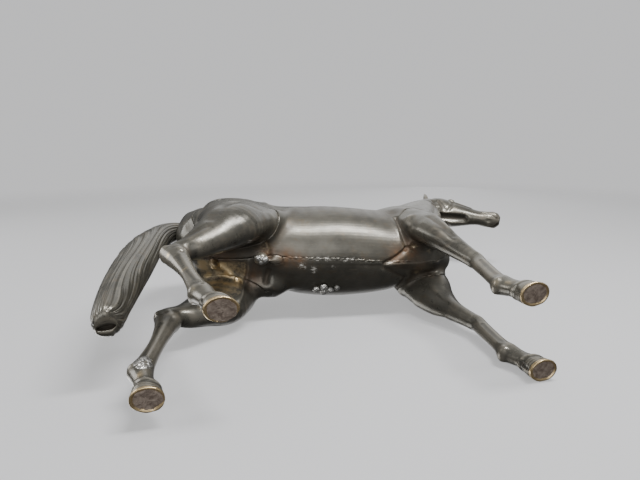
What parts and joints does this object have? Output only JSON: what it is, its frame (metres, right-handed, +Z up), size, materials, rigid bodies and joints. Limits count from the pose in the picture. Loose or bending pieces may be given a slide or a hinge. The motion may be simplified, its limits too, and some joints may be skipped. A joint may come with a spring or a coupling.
{
  "type": "horse statue",
  "caption": "Standing horse in dark patinated bronze, hollow cast in welded sections, with a long hanging tail and flat hoof soles that it stands on.",
  "frame": {"origin": "middle of the bounding box in plan, on the plane that the hooves stand on", "axes": "+X towards the head, +Y to the horse's left, +Z up"},
  "size_m": [0.66, 0.161, 0.5516],
  "materials": {
    "patinated_bronze": "cast bronze under a glossy black-brown patina, worn to olive and gold on the edges",
    "worn_bronze": "bronze rubbed bare, golden brown",
    "solder": "lumpy grey solder, partly bright",
    "core_filler": "rough brown casting core",
    "pin_steel": "plain steel, hidden"
  },
  "bodies": {
    "root": {"body_shell_left": "patinated_bronze", "body_shell_right": "patinated_bronze", "belly_seam_weld": "patinated_bronze", "back_seam_weld": "patinated_bronze", "neck_casting": "patinated_bronze", "neck_weld": "patinated_bronze", "head_casting": "patinated_bronze", "head_weld": "patinated_bronze", "ear_left": "patinated_bronze", "ear_right": "patinated_bronze", "foreleg_left": "patinated_bronze", "foreleg_right": "patinated_bronze", "hindleg_left": "patinated_bronze", "hindleg_right": "patinated_bronze", "foreleg_left_weld": "patinated_bronze", "foreleg_right_weld": "patinated_bronze", "hindleg_left_weld": "patinated_bronze", "hindleg_right_weld": "patinated_bronze", "foreleg_left_plug": "core_filler", "foreleg_right_plug": "core_filler", "hindleg_left_plug": "core_filler", "hindleg_right_plug": "core_filler", "tail_casting": "patinated_bronze", "tail_weld": "patinated_bronze", "tail_pin": "pin_steel", "sheath": "patinated_bronze", "groin_boss": "worn_bronze", "sheath_solder": "solder", "belly_solder": "solder", "fetlock_solder": "solder"}
  },
  "joints": []
}
